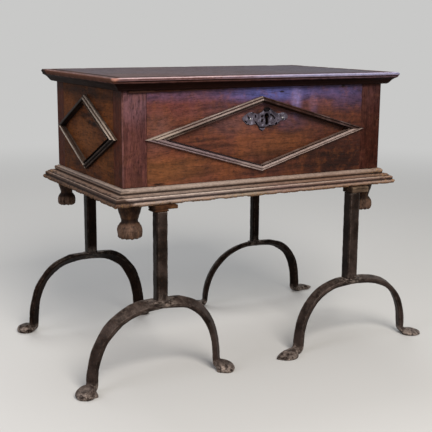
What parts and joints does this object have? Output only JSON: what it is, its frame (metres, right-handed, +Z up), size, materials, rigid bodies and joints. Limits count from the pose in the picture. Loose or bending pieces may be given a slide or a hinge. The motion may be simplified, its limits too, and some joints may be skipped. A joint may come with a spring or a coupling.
{
  "type": "strongbox coffer on wrought-iron legs",
  "caption": "Wooden strongbox with hinged lid, moulded plinth and turned feet, lozenge mouldings and a pierced iron lock plate, held up on arched iron legs.",
  "frame": {"origin": "on the floor, under the middle of the overall bounding box", "axes": "+X along the box's long side to the right as seen from the front, +Y from the front with the lock to the back with the hinges, +Z up"},
  "size_m": [0.832, 0.466, 0.5883],
  "materials": {
    "panel_wood": "dark red-brown varnished walnut, worn, mottled grain",
    "post_wood": "dark purple-brown varnished walnut with upright grain",
    "bottom_wood": "plain unfinished board",
    "plinth_wood": "greyish tan worn wood, waxed, pitted along the lower edge",
    "lid_wood": "dark brown waxed wood, rubbed pale on the moulded edge",
    "lozenge_wood": "dark wood rubbed to tan along the reeds",
    "foot_wood": "dark red-brown turned wood, cracked and pitted",
    "shim_wood": "raw pale wood",
    "leg_iron": "hand-forged iron, waxed, brown-black",
    "lock_iron": "old forged iron, grey-brown",
    "bright_iron": "rubbed iron"
  },
  "bodies": {
    "coffer": {"front_panel": "panel_wood", "back_panel": "panel_wood", "left_panel": "panel_wood", "right_panel": "panel_wood", "front_left_corner_post": "post_wood", "front_right_corner_post": "post_wood", "back_right_corner_post": "post_wood", "back_left_corner_post": "post_wood", "front_bottom_board": "bottom_wood", "back_bottom_board": "bottom_wood", "front_plinth": "plinth_wood", "right_plinth": "plinth_wood", "back_plinth": "plinth_wood", "left_plinth": "plinth_wood", "front_lozenge_lower_right": "lozenge_wood", "front_lozenge_upper_right": "lozenge_wood", "front_lozenge_upper_left": "lozenge_wood", "front_lozenge_lower_left": "lozenge_wood", "right_lozenge_lower_right": "lozenge_wood", "right_lozenge_upper_right": "lozenge_wood", "right_lozenge_upper_left": "lozenge_wood", "right_lozenge_lower_left": "lozenge_wood", "left_lozenge_lower_right": "lozenge_wood", "left_lozenge_upper_right": "lozenge_wood", "left_lozenge_upper_left": "lozenge_wood", "left_lozenge_lower_left": "lozenge_wood", "front_left_turned_foot": "foot_wood", "front_right_turned_foot": "foot_wood", "back_right_turned_foot": "foot_wood", "back_left_turned_foot": "foot_wood", "front_left_upper_shim": "shim_wood", "front_left_lower_shim": "shim_wood", "front_right_shim": "shim_wood", "front_left_leg_arch": "leg_iron", "front_left_leg_upright": "leg_iron", "front_right_leg_arch": "leg_iron", "front_right_leg_upright": "leg_iron", "back_right_leg_arch": "leg_iron", "back_right_leg_upright": "leg_iron", "back_left_leg_arch": "leg_iron", "back_left_leg_upright": "leg_iron", "escutcheon": "lock_iron", "lock_case": "lock_iron", "left_hinge_leaf": "lock_iron", "right_hinge_leaf": "lock_iron", "escutcheon_nail_left": "bright_iron", "escutcheon_nail_right": "bright_iron", "lock_spring": "bright_iron", "left_hinge_pin": "bright_iron", "right_hinge_pin": "bright_iron"},
    "lid": {"lid_board": "lid_wood", "front_lid_moulding": "lid_wood", "right_lid_moulding": "lid_wood", "back_lid_moulding": "lid_wood", "left_lid_moulding": "lid_wood", "lid_staple": "lock_iron", "left_hinge_strap": "lock_iron", "right_hinge_strap": "lock_iron"},
    "bolt": {"lock_bolt": "lock_iron"}
  },
  "joints": [
    {"name": "lid_hinge", "type": "hinge", "parent": "coffer", "child": "lid", "pos_m": [0, 0.1813, 0.5607], "axis": [-1, 0, 0], "range_deg": [0, 105]},
    {"name": "bolt_slide", "type": "slide", "parent": "coffer", "child": "bolt", "axis": [1, 0, 0], "range_m": [0, 0.012]}
  ]
}
